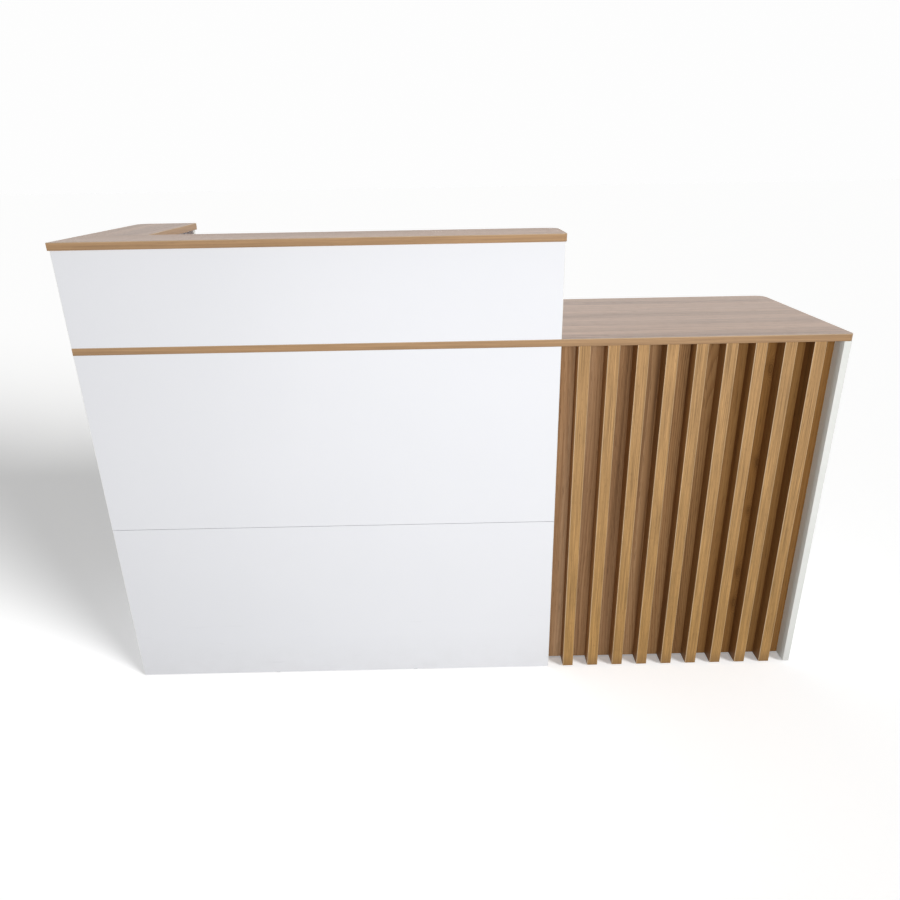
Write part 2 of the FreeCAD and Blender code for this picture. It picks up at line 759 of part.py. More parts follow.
def make_brackets():
    """Both kinds of bracket, each with a screw in either leg, and the screws' bores."""
    screw, bore = make_bracket_screws()
    brackets = []
    screws = []
    for kind, places in (("", bracket_places()), ("small_", small_bracket_places())):
        hole_place = kind + "bracket_hole_place"
        bracket = make_bracket(kind + "bracket_master", kind + "bracket_leg", hole_place)
        leg_places = (
            ((hole_place, "bracket_thickness", "0"), FACING_REAR),
            (("bracket_thickness", hole_place, "0"), FACING_RIGHT),
        )
        screw_pair = gather(kind + "screw_pair", copies(kind + "paired_screw", screw, leg_places))
        bore_pair = gather(kind + "bore_pair", copies(kind + "paired_bore", bore, leg_places))
        brackets += copies(kind + "bracket", bracket, places)
        screws += copies(kind + "screws", screw_pair, places)
        bores.extend(copies(kind + "bracket_bores", bore_pair, places))
    nodes["angle_brackets"] = gather("angle_brackets", brackets)
    nodes["bracket_screws"] = gather("bracket_screws", screws)


def make_shelf_pins():
    """Four pins under the shelf, each in the middle of its own short row of holes."""
    pin = lathe(
        "pin_master",
        (
            ("0", "pin_reach"),
            ("pin_radius", "pin_reach"),
            ("pin_radius", "(0 - pin_depth)"),
            ("0", "(0 - pin_depth)"),
        ),
    )
    bore = lathe(
        "pin_bore_master",
        (
            ("0", "overrun"),
            ("(pin_radius + bore_clearance)", "overrun"),
            ("(pin_radius + bore_clearance)", "(0 - pin_depth - bore_clearance)"),
            ("0", "(0 - pin_depth - bore_clearance)"),
        ),
    )
    pins = []
    holes = []
    for share in SHELF_PIN_SHARES:
        depth = between(BEHIND_SLATS, PANEL_REAR, share)
        for across, turn in ((TALL_RIGHT, FACING_RIGHT), (INSIDE_RIGHT, FACING_LEFT)):
            for step in PIN_ROW_STEPS:
                height = f"(shelf_height - pin_radius + {step} * pin_pitch)"
                holes.append(((across, depth, height), turn))
            pins.append(((across, depth, "(shelf_height - pin_radius)"), turn))
    nodes["shelf_pins"] = gather("shelf_pins", copies("pin", pin, pins))
    bores.extend(copies("pin_bore", bore, holes))


def make_ledge_dowels():
    """Dowels across the joint of the ledge's two boards."""
    half = "(dowel_length / 2)"
    shoulder = f"({half} - dowel_chamfer)"
    dowel = lathe(
        "dowel_master",
        (
            ("0", half),
            ("(dowel_radius - dowel_chamfer)", half),
            ("dowel_radius", shoulder),
            ("dowel_radius", f"(0 - {shoulder})"),
            ("(dowel_radius - dowel_chamfer)", f"(0 - {half})"),
            ("0", f"(0 - {half})"),
        ),
    )
    bore = lathe(
        "dowel_bore_master",
        (
            ("0", f"({half} + bore_clearance)"),
            ("(dowel_radius + bore_clearance)", f"({half} + bore_clearance)"),
            ("(dowel_radius + bore_clearance)", f"(0 - {half} - bore_clearance)"),
            ("0", f"(0 - {half} - bore_clearance)"),
        ),
    )
    places = []
    for share in DOWEL_SHARES:
        across = between(LEDGE_LEFT, LEDGE_INNER, share)
        height = between(UNDER_LEDGE, "ledge_height", MIDDLE_SHARE)
        places.append(((across, LEDGE_JOINT, height), FACING_REAR))
    nodes["ledge_dowels"] = gather("ledge_dowels", copies("dowel", dowel, places))
    bores.extend(copies("dowel_bore", bore, places))


def make_floor_glides():
    """Plastic glides, each with its nail, under the upright panels and the lower front."""
    nail_tip = "(floor_gap + nail_length)"
    glide = lathe(
        "glide_master",
        (
            ("0", "0"),
            ("(glide_radius - glide_chamfer)", "0"),
            ("glide_radius", "glide_chamfer"),
            ("glide_radius", "floor_gap"),
            ("nail_radius", "floor_gap"),
            ("nail_radius", nail_tip),
            ("0", nail_tip),
        ),
    )
    bore_top = f"({nail_tip} + bore_clearance)"
    bore = lathe(
        "nail_bore_master",
        (
            ("0", "(floor_gap - overrun)"),
            ("(nail_radius + bore_clearance)", "(floor_gap - overrun)"),
            ("(nail_radius + bore_clearance)", bore_top),
            ("0", bore_top),
        ),
    )
    half_board = "board_thickness / 2"
    places = []
    for share in GLIDE_SHARES:
        depth = between(BEHIND_FRONTS, PANEL_REAR, share)
        for left in (LEFT, DIVIDER_LEFT, INSIDE_RIGHT):
            places.append(((f"({left} + {half_board})", depth, "0"), UPRIGHT))
    for share in FRONT_GLIDE_SHARES:
        across = between(LEFT, TALL_RIGHT, share)
        places.append(((across, f"({FRONT} + {half_board})", "0"), UPRIGHT))
    nodes["floor_glides"] = gather("floor_glides", copies("glide", glide, places))
    bores.extend(copies("nail_bore", bore, places))


def drill_boards():
    """Cut from every board the bores that reach into it."""
    doc.recompute()
    for name, blank in blanks.items():
        box = blank.Shape.BoundBox
        near = [bore for bore in bores if bore.Shape.BoundBox.intersect(box)]
        nodes[name] = blank
        if near:
            nodes[name] = doc.addObject("Part::Cut", name)
            nodes[name].Base = blank
            nodes[name].Tool = gather(name + "_bores", near)
    nodes["white_edge_bands"] = gather("white_edge_bands", white_strips)
    nodes["slat_edge_bands"] = gather("slat_edge_bands", slat_strips)
    doc.recompute()


def check_objects():
    """Stop if any object failed, or any piece has no sound solid."""
    for item in doc.Objects:
        if "Invalid" in item.State or "Error" in item.State:
            raise RuntimeError("%s is %s" % (item.Name, item.State))
    for name, piece in nodes.items():
        shape = piece.Shape
        if shape.isNull() or not shape.isValid() or not shape.Solids:
            raise RuntimeError("%s has no valid shape" % name)
        members = len(getattr(piece, "Links", [])) or 1
        if len(shape.Solids) % members:
            raise RuntimeError("%s has %d solids" % (name, len(shape.Solids)))


def write_parts():
    """Write each piece under its own name, and say what it holds."""
    os.makedirs("parts", exist_ok=True)
    for name, piece in sorted(nodes.items()):
        piece.Label = name
        piece.Shape.exportStep(os.path.join("parts", name + ".step"))
        box = piece.Shape.optimalBoundingBox()
        spans = "%.1f x %.1f x %.1f" % (box.XLength, box.YLength, box.ZLength)
        print("%-26s %3d solids  %s mm" % (name, len(piece.Shape.Solids), spans))


make_sheet()
make_tall_section()
make_ledge_supports()
make_rails()
make_low_section()
make_slats()
make_worktop()
make_ledge()
make_rail_screws()
make_brackets()
make_shelf_pins()
make_ledge_dowels()
make_floor_glides()
drill_boards()
check_objects()
write_parts()
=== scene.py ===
# %% [markdown]
# # A service counter in white and oak: the looks
#
# The counter is made of flat boards, as a joiner makes it: white melamine boards for the tall section, one
# oak-pattern worktop, a ledge that turns the corner, and nine upright slats before an oak-pattern back panel.
# Their shapes come from the CAD model and stay as they are. This lesson gives each board the finish that the
# real one has, and swaps the plain turned screws for screws with a cross recess.
#
# We start by loading the CAD model. Every piece already stands in its place, in metres, so nothing is fitted
# by hand.

# %% Load the model
import random
from math import cos, degrees, radians, sin

import bpy
from mathutils import Matrix, Vector


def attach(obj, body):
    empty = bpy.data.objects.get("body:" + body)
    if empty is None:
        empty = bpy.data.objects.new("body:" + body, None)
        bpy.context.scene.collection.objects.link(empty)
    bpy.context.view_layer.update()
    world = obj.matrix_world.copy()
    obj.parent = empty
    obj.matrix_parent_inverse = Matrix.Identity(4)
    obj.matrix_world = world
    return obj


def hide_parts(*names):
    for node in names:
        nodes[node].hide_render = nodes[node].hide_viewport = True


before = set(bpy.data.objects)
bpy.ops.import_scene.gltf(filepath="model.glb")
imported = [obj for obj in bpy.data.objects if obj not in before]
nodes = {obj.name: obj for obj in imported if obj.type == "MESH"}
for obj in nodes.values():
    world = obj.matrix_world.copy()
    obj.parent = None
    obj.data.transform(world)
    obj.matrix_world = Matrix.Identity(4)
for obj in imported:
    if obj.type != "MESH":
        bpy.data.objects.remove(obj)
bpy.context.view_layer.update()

print("pieces from the CAD model:", len(nodes))

# %% [markdown]
# ## The camera
#
# The picture that we follow was taken from in front of the tall section and a little above the ledge, looking
# down. We could place a camera by eye. It is surer to work it out: the long straight edges of the boards fix
# where the camera stood, how it was turned, and how wide it sees. The lens is a wide one, 30 mm on a 36 mm
# sensor. The small shift stands for the crop of the picture. The view transform is Standard, which shows
# colours as they are.

# %% The camera
bpy.ops.object.select_all(action="DESELECT")
bpy.ops.object.camera_add(
    location=(-0.0346, -1.7834, 1.1482), rotation=(radians(65.805), radians(0.895), radians(-0.889))
)
camera = bpy.context.object
camera.name = "camera"
camera.data.sensor_width = 36
camera.data.lens = 30.16
camera.data.shift_x = -0.007
camera.data.shift_y = 0.0571
bpy.context.scene.camera = camera
bpy.context.scene.view_settings.view_transform = "Standard"
print("the camera sees", round(degrees(camera.data.angle), 1), "degrees wide")

# %% [markdown]
# ## Wires and numbers
#
# A finish is a small network of nodes. We could wire each one by hand in the shader editor. Code is quicker
# for so many alike, and a few helpers keep it short: `add` places a node, `feed` types a number into a socket
# or wires another node to it, and `calc` does one sum. `noise` gives the soft random pattern that nearly every
# natural surface begins with. `spread` stretches a part of its values to the range that we need, `stretch`
# pulls the pattern itself long, as grain and scratches are, and `mix` and `tinted` work on colours.


# %% Helpers for nodes
def feed(tree, socket, value):
    """Type a number or colour into a socket, or wire a node's output to it."""
    if isinstance(value, bpy.types.NodeSocket):
        tree.links.new(value, socket)
    else:
        socket.default_value = value


def add(tree, kind, sockets=None, **settings):
    """Place a node, set its menus, and feed its sockets, by name or number."""
    node = tree.nodes.new(kind)
    for name, value in settings.items():
        setattr(node, name, value)
    for socket, value in (sockets or {}).items():
        feed(tree, node.inputs[socket], value)
    return node


def calc(tree, operation, *values):
    """One sum on one to three numbers."""
    return add(tree, "ShaderNodeMath", dict(enumerate(values)), operation=operation).outputs[0]


def noise(tree, place, detail=2.0, roughness=0.5, scale=1.0):
    """A soft random value from 0 to 1, mostly near 0.5."""
    sockets = {"Vector": place, "Scale": scale, "Detail": detail, "Roughness": roughness}
    return add(tree, "ShaderNodeTexNoise", sockets).outputs["Fac"]


def spread(tree, value, low, high, new_low=0.0, new_high=1.0):
    """Stretch the part of a value between low and high to a new range, and cut off the rest."""
    sockets = {"Value": value, "From Min": low, "From Max": high, "To Min": new_low, "To Max": new_high}
    return add(tree, "ShaderNodeMapRange", sockets, clamp=True).outputs["Result"]


def stretch(tree, place, along, across, deep):
    """Squeeze a place by three factors, which pulls a pattern long where the factor is small."""
    sockets = {0: place, 1: (along, across, deep)}
    return add(tree, "ShaderNodeVectorMath", sockets, operation="MULTIPLY").outputs[0]


def mix(tree, factor, first, second, blend="MIX"):
    """Mix two colours. The node takes the factor in socket 0, and the colours in 6 and 7."""
    sockets = {0: factor, 6: first, 7: second}
    return add(tree, "ShaderNodeMix", data_type="RGBA", blend_type=blend, sockets=sockets).outputs[2]


def tinted(tree, colour, tint):
    """Multiply a colour by a tint."""
    return mix(tree, 1.0, colour, tint, "MULTIPLY")


print("node helpers ready")

# %% [markdown]
# ## Floor and surroundings
#
# The counter stands in a white room with no corners, as in a studio. A large plane is the floor. Strong lamps
# would make it white, but the counter would become too bright with it. So the white is given to the camera
# and to glossy reflections alone. What the floor and the air throw back on the counter is a plain soft light,
# so that its colours come out as they are written. The floor that the camera sees is a plain diffuse white
# with a little glow, and so it shows the counter's shadow, but not too dark.

# %% Floor and surroundings
PURE_WHITE = (1, 1, 1, 1)
FLOOR_THAT_LIGHTS = (0.43, 0.43, 0.43, 1)
FLOOR_THAT_SHOWS = (0.9, 0.9, 0.9, 1)
FLOOR_GLOW = 0.287
AIR_THAT_LIGHTS = (1.0, 1.0, 0.99, 1)
AIR_LIGHT = 0.25
AIR_WHITE = 0.985


def seen_directly(tree):
    """1 where the camera, a reflection or a clear material looks, 0 for light that bounces on."""
    path = add(tree, "ShaderNodeLightPath")
    mirror = calc(tree, "MAXIMUM", path.outputs["Is Glossy Ray"], path.outputs["Is Transmission Ray"])
    return calc(tree, "MAXIMUM", path.outputs["Is Camera Ray"], mirror)


def part_the_light(tree, that_lights, that_shows, output):
    """Show one shader where something looks directly, and let the other light the counter."""
    sockets = {0: seen_directly(tree), 1: that_lights.outputs[0], 2: that_shows.outputs[0]}
    either = add(tree, "ShaderNodeMixShader", sockets)
    add(tree, output, {"Surface": either.outputs[0]})


bpy.ops.object.select_all(action="DESELECT")
bpy.ops.mesh.primitive_plane_add(size=80)
floor = bpy.context.object
floor.name = "floor"

floor_paint = bpy.data.materials.new("floor_white")
floor_paint.use_nodes = True
tree = floor_paint.node_tree
tree.nodes.clear()
plain = add(tree, "ShaderNodeBsdfDiffuse", {"Color": FLOOR_THAT_LIGHTS})
bright = add(tree, "ShaderNodeBsdfDiffuse", {"Color": FLOOR_THAT_SHOWS})
glow = add(tree, "ShaderNodeEmission", {"Color": PURE_WHITE, "Strength": FLOOR_GLOW})
shown = add(tree, "ShaderNodeAddShader", {0: bright.outputs[0], 1: glow.outputs[0]})
part_the_light(tree, plain, shown, "ShaderNodeOutputMaterial")
floor.data.materials.append(floor_paint)

room = bpy.data.worlds.new("room")
bpy.context.scene.world = room
room.use_nodes = True
tree = room.node_tree
tree.nodes.clear()
fill = add(tree, "ShaderNodeBackground", {"Color": AIR_THAT_LIGHTS, "Strength": AIR_LIGHT})
white = add(tree, "ShaderNodeBackground", {"Color": PURE_WHITE, "Strength": AIR_WHITE})
part_the_light(tree, fill, white, "ShaderNodeOutputWorld")
print("floor and room ready")

# %% [markdown]
# ## The lamps
#
# The white fronts are evenly lit from the ledge halfway down, and then fade slowly to the floor. Their left
# end is darker than the rest, and the worktop throws hardly any shadow on the panel behind the slats. So the
# light on them comes from the front and from low down: a soft panel close behind the viewer. A weaker one far
# to the left brightens the slats' left sides, and the oak on top gets its light from a panel at the ceiling.
# Three more stand behind and beside the counter, for the sides that the picture doesn't show.
#
# The shadow on the floor falls to the left and backwards, it is three times as long as the counter is high,
# and its edge is soft. So it comes from a large window at the right, not high above the floor. A sun lamp with
# a wide angle makes such a light, and it lights the whole floor alike, however far that reaches. So the work
# is shared: the window lights the floor alone, and the panels light all but the floor. In Blender this is
# light linking: each lamp names a collection that it lights, or that it leaves out.


# %% The lamps
def lamp(name, kind, place, target, energy, **settings):
    """A lamp at a place, turned to a target."""
    bpy.ops.object.light_add(type=kind, location=place)
    light = bpy.context.object
    light.name = name
    light.rotation_euler = (Vector(place) - Vector(target)).to_track_quat("Z", "Y").to_euler()
    light.data.energy = energy
    for setting, value in settings.items():
        setattr(light.data, setting, value)
    return light


def around(turn, rise, distance):
    """A place seen from the counter's middle: turn degrees to the right of its front, rise degrees up."""
    turn, rise = radians(turn), radians(rise)
    return Vector((sin(turn) * cos(rise), -cos(turn) * cos(rise), sin(rise))) * distance


floor_alone = bpy.data.collections.new("floor_alone")
floor_alone.objects.link(floor)
all_but_floor = bpy.data.collections.new("all_but_floor")
all_but_floor.objects.link(floor)
all_but_floor.collection_objects[0].light_linking.link_state = "EXCLUDE"

window = lamp("window", "SUN", around(50.5, 17.2, 6), (0, 0, 0), 5.5, angle=radians(24.5))
window.light_linking.receiver_collection = floor_alone
# Each panel's name, its place, the point that it is turned to, and its power in watts.
PANELS = (
    ("near_panel", (0.3, -1.9, 0.8), (0, -0.2, 0.6), 25),
    ("left_panel", (-4.0, -1.9, 1.3), (0, -0.2, 0.6), 35),
    ("ceiling_panel", (0.5, 0.05, 3.2), (0.5, 0.05, 0), 20.5),
    ("rear_panel", (0.4, 4.0, 1.7), (0, 0.2, 0.6), 85),
    ("right_side_panel", (4.2, 0.9, 1.3), (0.8, 0.1, 0.6), 60),
    ("left_side_panel", (-4.2, 0.9, 1.3), (-0.8, 0.1, 0.6), 45),
)
for name, place, target, power in PANELS:
    panel = lamp(name, "AREA", place, target, power, shape="RECTANGLE", size=1.8, size_y=1.2)
    panel.light_linking.receiver_collection = all_but_floor
    panel.visible_camera = panel.visible_glossy = False
print("lamps ready: a window and", len(PANELS), "panels")

# %% [markdown]
# ## What every finish begins and ends with
#
# Each finish starts from Blender's all-round shader and from the object's own coordinates. A picture of the
# material would be another way, but it needs a file, and a flat map on every board. A pattern that is worked
# out from the coordinates runs through the whole board and round its edges, and nothing slides if the board
# is turned. What is the same all over a surface, such as its index of refraction, is typed into the shader.
# What changes from spot to spot, colour, roughness and relief, is wired to it at the end.

# %% Start and end of a finish
X, Y, Z = range(3)


def new_finish(name, **settings):
    """A material with its shader, which gets the settings as they are, and the object's own coordinates."""
    finish = bpy.data.materials.new(name)
    finish.use_nodes = True
    tree = finish.node_tree
    shader = tree.nodes["Principled BSDF"]
    for socket, value in settings.items():
        shader.inputs[socket.replace("_", " ")].default_value = value
    return finish, tree, shader, add(tree, "ShaderNodeTexCoord").outputs["Object"]


def coat(tree, shader, colour, roughness, relief, depth):
    """Give the shader its colour, its roughness, and a relief whose depth is in metres."""
    feed(tree, shader.inputs["Base Color"], colour)
    feed(tree, shader.inputs["Roughness"], roughness)
    bump = add(tree, "ShaderNodeBump", {"Height": relief, "Distance": depth})
    feed(tree, shader.inputs["Normal"], bump.outputs["Normal"])


def axes(tree, place):
    """The x, y and z of a place, one by one."""
    return add(tree, "ShaderNodeSeparateXYZ", {0: place}).outputs


def join_axes(tree, x, y, z=0.0):
    """A place, from its x, y and z."""
    return add(tree, "ShaderNodeCombineXYZ", {0: x, 1: y, 2: z}).outputs[0]


def patches(tree, place, scale):
    """A random value from 0 to 1 for each of many small patches."""
    cells = add(tree, "ShaderNodeTexVoronoi", {"Vector": place, "Scale": scale, "Randomness": 1.0})
    return add(tree, "ShaderNodeSeparateColor", {0: cells.outputs["Color"]}).outputs[0]


print("finish helpers ready")

# %% [markdown]
# ## White melamine board
#
# The tall section and the end panel are chipboard faced with white melamine paper. Pressed against a steel
# plate, the paper takes a fine pearl texture: bumps a millimetre or two wide and a few hundredths high that
# break up reflections. The white isn't even, it drifts by two parts in a hundred, and the lowest hand's width
# collects dust and scuffs from mops and shoes. The end panel beside the slats is painted a shade warmer than
# the rest, as painted reflected light from the oak, which `tint` takes care of. A rail's long edges have no
# edge band, and so the brown chipboard shows there: `core` names the axis of the board's thickness, and faces
# that turn away from it get chipboard. It could be a second material on those faces, but the CAD mesh has one
# slot, so the finish tells them apart.

# %% Dirt and raw chipboard
DUST = (0.42, 0.39, 0.35, 1)
SCUFF = (0.30, 0.30, 0.31, 1)
DARK_CHIP = (0.21, 0.13, 0.07, 1)
PALE_CHIP = (0.52, 0.39, 0.25, 1)


def soil(tree, place, colour):
    """Put dust on a colour up to 11 cm above the floor, and scuffs up to 20 cm."""
    height = axes(tree, place)[Z]
    cloud = noise(tree, place, detail=4.0, roughness=0.6, scale=34.0)
    dust = calc(tree, "MULTIPLY", spread(tree, height, 0.0, 0.11, 1.0, 0.0), cloud)
    colour = mix(tree, calc(tree, "MULTIPLY", dust, 0.16), colour, DUST)
    scuff = spread(tree, noise(tree, stretch(tree, place, 9.0, 9.0, 75.0), detail=3.0), 0.66, 0.72)
    scuff = calc(tree, "MULTIPLY", scuff, spread(tree, height, 0.05, 0.2, 0.07, 0.0))
    return mix(tree, scuff, colour, SCUFF)


def raw_edges(tree, place, core, colour, relief):
    """Lay pressed wood chips, a few millimetres long, on the faces that turn away from the thickness."""
    facing = axes(tree, add(tree, "ShaderNodeNewGeometry").outputs["Normal"])[core]
    edge = calc(tree, "LESS_THAN", calc(tree, "ABSOLUTE", facing), 0.5)
    chip = patches(tree, place, 420.0)
    grit = calc(tree, "MULTIPLY", calc(tree, "MULTIPLY", edge, chip), 6.0)
    return mix(tree, edge, colour, mix(tree, chip, DARK_CHIP, PALE_CHIP)), calc(tree, "ADD", relief, grit)


print("dirt and chipboard ready")

# %% White melamine
WHITE_TONES = ((0.842, 0.850, 0.882), (0.862, 0.868, 0.900))


def white_melamine(name, core=None, tint=(1.0, 1.0, 1.0)):
    """White melamine paper, on a chipboard that shows where the axis of its thickness is given."""
    finish, tree, shader, place = new_finish(name, IOR=1.5)
    low, high = ([part * share for part, share in zip(tone, tint)] for tone in WHITE_TONES)
    drift = spread(tree, noise(tree, place, detail=3.0, roughness=0.55, scale=2.3), 0.3, 0.7)
    colour = soil(tree, place, mix(tree, drift, (*low, 1), (*high, 1)))
    pearl = noise(tree, place, detail=1.5, roughness=0.4, scale=620.0)
    soft = noise(tree, place, scale=55.0)
    relief = calc(tree, "ADD", pearl, calc(tree, "MULTIPLY", soft, 0.6))
    if core is not None:
        colour, relief = raw_edges(tree, place, core, colour, relief)
    coat(tree, shader, colour, spread(tree, soft, 0.25, 0.75, 0.34, 0.46), relief, 0.00002)
    return finish


white_face = white_melamine("white_melamine")
white_rail = white_melamine("white_melamine_raw_long_edges", core=Y)
# Painted reflected light: the end panel's white is tinted warmer, for the light that the oak throws on it.
white_end = white_melamine("white_melamine_end_panel", tint=(0.985, 1.02, 0.945))
print("white melamine:", len(white_face.node_tree.nodes), "nodes")

# %% [markdown]
# ## White edge band
#
# The boards' ends and rear edges carry a plastic band, a millimetre thick, glued on hot and scraped flush. It
# could share the board's finish, but on a real board the two never quite match: the band is smoother and a
# touch creamier than the paper beside it, the scraper leaves faint waves a hand's width long, and its foot is
# dusty where it meets the floor. So it gets a finish of its own.

# %% White edge band
BAND_TONES = ((0.825, 0.835, 0.800, 1), (0.860, 0.866, 0.836, 1))
FOOT_DUST = (0.40, 0.37, 0.33, 1)


def white_band(name):
    """Plastic edge band, scraped by hand, with a little more shine than the board."""
    finish, tree, shader, place = new_finish(name, IOR=1.5)
    waves = noise(tree, stretch(tree, place, 30.0, 30.0, 12.0))
    grit = noise(tree, place, roughness=0.6, scale=900.0)
    colour = mix(tree, spread(tree, waves, 0.3, 0.7), *BAND_TONES)
    near_floor = spread(tree, axes(tree, place)[Z], 0.0, 0.06, 0.35, 0.0)
    foot = calc(tree, "MULTIPLY", near_floor, noise(tree, place, detail=3.0, roughness=0.6, scale=60.0))
    colour = mix(tree, foot, colour, FOOT_DUST)
    relief = calc(tree, "MULTIPLY_ADD", waves, 9.0, grit)
    coat(tree, shader, colour, spread(tree, grit, 0.3, 0.7, 0.26, 0.36), relief, 0.00001)
    return finish


white_edging = white_band("white_edge_band")
print("white edge band:", len(white_edging.node_tree.nodes), "nodes")

# %% [markdown]
# ## Oak pattern board
#
# The oak on this counter is a printed paper under a clear coat, pressed so that the pores can be felt. What
# the eye reads as oak, from far to near, is this: broad streaks, some greyer and some warmer; growth lines
# that run straight for most of the width and close to pointed arches where the board cuts the heart of the
# tree; fibres; and pores, dark dashes a third of a millimetre wide that gather along the growth lines.
#
# Each of these is one noise, pulled long in the direction of the grain. So the first thing is a place in the
# board's own terms: along the grain, across it, and deep. We bend the across value a little, because no fibre
# is quite straight: slowly by up to a centimetre, and more quickly by a millimetre or two. Every later
# pattern uses the bent place, and so they bend together.

# %% Oak: the place along and across the grain
SLOW_BEND = 0.026
QUICK_BEND = 0.0045


def grain_place(tree, place, along, across, shift):
    """The place with x along the grain, bent as fibres bend; how far along, and across, bent and unbent."""
    parts = axes(tree, place)
    deep = X + Y + Z - along - across
    length = calc(tree, "ADD", parts[along], shift)
    unbent = join_axes(tree, length, parts[across], parts[deep])
    slow = calc(tree, "SUBTRACT", noise(tree, stretch(tree, unbent, 1.1, 5.0, 5.0), detail=1.0), 0.5)
    quick = calc(tree, "SUBTRACT", noise(tree, stretch(tree, unbent, 5.5, 30.0, 30.0), detail=1.0), 0.5)
    bend = calc(tree, "MULTIPLY_ADD", slow, SLOW_BEND, calc(tree, "MULTIPLY", quick, QUICK_BEND))
    bent = calc(tree, "ADD", parts[across], bend)
    return join_axes(tree, length, bent, parts[deep]), length, bent, parts[across]


print("grain helper ready")

# %% [markdown]
# The growth lines come from counting years across the board. Where the count rises evenly, the lines are
# straight. Where we add a broad hump to the count, the lines swing out and close into arches, as they do
# over the heart. A knot is a small steep hump: the lines crowd round it like water round a stone. Within each
# year the wood starts light and porous and ends in a dark hard line, so we use what is left of the count
# after the whole years.

# %% Oak: years, arches and knots
YEARS_IN_A_METRE = 135.0
KNOT_YEARS = 5.0
KNOT_LENGTH = 2.4
NATURAL_BASE = 2.718


def knot_hump(tree, length, straight, knot):
    """1 in the middle of a knot, falling to 0 around it. A knot is longer along the grain than across."""
    middle_along, middle_across, size = knot
    along = calc(tree, "DIVIDE", calc(tree, "SUBTRACT", length, middle_along), size * KNOT_LENGTH)
    aside = calc(tree, "DIVIDE", calc(tree, "SUBTRACT", straight, middle_across), size)
    far = calc(tree, "ADD", calc(tree, "MULTIPLY", along, along), calc(tree, "MULTIPLY", aside, aside))
    return calc(tree, "POWER", NATURAL_BASE, calc(tree, "MULTIPLY", far, -1.0))


def years(tree, bent_place, length, bent, straight, knots):
    """How far the year's growth has gone, from 0 to 1, where the arches are, and where the knots are."""
    arches = spread(tree, noise(tree, stretch(tree, bent_place, 0.35, 4.2, 4.2), detail=0.0), 0.5, 0.66)
    hump = noise(tree, stretch(tree, bent_place, 1.5, 10.0, 10.0), detail=0.0)
    swing = calc(tree, "MULTIPLY", hump, calc(tree, "MULTIPLY_ADD", arches, 13.0, 2.5))
    count = calc(tree, "MULTIPLY_ADD", bent, YEARS_IN_A_METRE, swing)
    hearts = 0.0
    for knot in knots:
        near = knot_hump(tree, length, straight, knot)
        count = calc(tree, "MULTIPLY_ADD", near, KNOT_YEARS, count)
        arches = calc(tree, "MAXIMUM", arches, near)
        hearts = calc(tree, "MAXIMUM", hearts, near)
    return calc(tree, "FRACT", count), arches, hearts


print("years helper ready")

# %% [markdown]
# Now the colours. A value from dark to light gathers the broad streaks, narrower bands, the fibres, the
# growth lines and the knots, each with its own weight, and looks up its colour on a ramp from deep brown to
# pale tan. A second slow noise turns some streaks grey, as on smoked oak. The pores are a noise of their own,
# cut off so that only its peaks are left, and most of them sit in the year's early wood.


# %% Oak: tone, colour and pores
def sway(tree, value, pattern, weight):
    """Add a pattern to a value, so that it lightens as often as it darkens."""
    return calc(tree, "MULTIPLY_ADD", calc(tree, "SUBTRACT", pattern, 0.5), weight, value)


def oak_tone(tree, bent_place, fibre, late, hearts, streaks, fine):
    """How light the wood is. Streaks is the weight of the broad streaks, and fine that of the fibres."""
    broad = noise(tree, stretch(tree, bent_place, 0.6, 19.0, 19.0), detail=3.0, roughness=0.55)
    bands = noise(tree, stretch(tree, bent_place, 1.6, 90.0, 90.0))
    tone = sway(tree, 0.58, broad, streaks)
    tone = sway(tree, tone, bands, 0.75)
    tone = sway(tree, tone, fibre, fine)
    tone = calc(tree, "MULTIPLY_ADD", late, -0.34, tone)
    return calc(tree, "MULTIPLY_ADD", calc(tree, "POWER", hearts, 2.0), -0.28, tone)


def oak_colour(tree, bent_place, tone, tones):
    """Look the tone up between a dark, a middle and a light one, and turn some streaks grey."""
    dark, middle, light = tones
    ramp = add(tree, "ShaderNodeValToRGB", {"Fac": tone})
    ramp.color_ramp.elements[0].color = (*dark, 1)
    ramp.color_ramp.elements[1].color = (*light, 1)
    ramp.color_ramp.elements.new(0.5).color = (*middle, 1)
    smoke = noise(tree, stretch(tree, bent_place, 0.3, 7.5, 7.5), detail=1.0)
    ashen = tinted(tree, ramp.outputs["Color"], (0.92, 1.0, 1.16, 1))
    return mix(tree, spread(tree, smoke, 0.48, 0.66, 0.0, 0.5), ramp.outputs["Color"], ashen)


def oak_pores(tree, bent_place, year):
    """Short dark dashes along the grain, most of them in the first half of a year."""
    early = spread(tree, year, 0.03, 0.42, 1.0, 0.0)
    dash = noise(tree, stretch(tree, bent_place, 42.0, 1250.0, 1250.0), detail=0.0)
    return calc(tree, "MULTIPLY", spread(tree, dash, 0.6, 0.7), calc(tree, "MULTIPLY_ADD", early, 0.75, 0.25))


print("oak helpers ready")
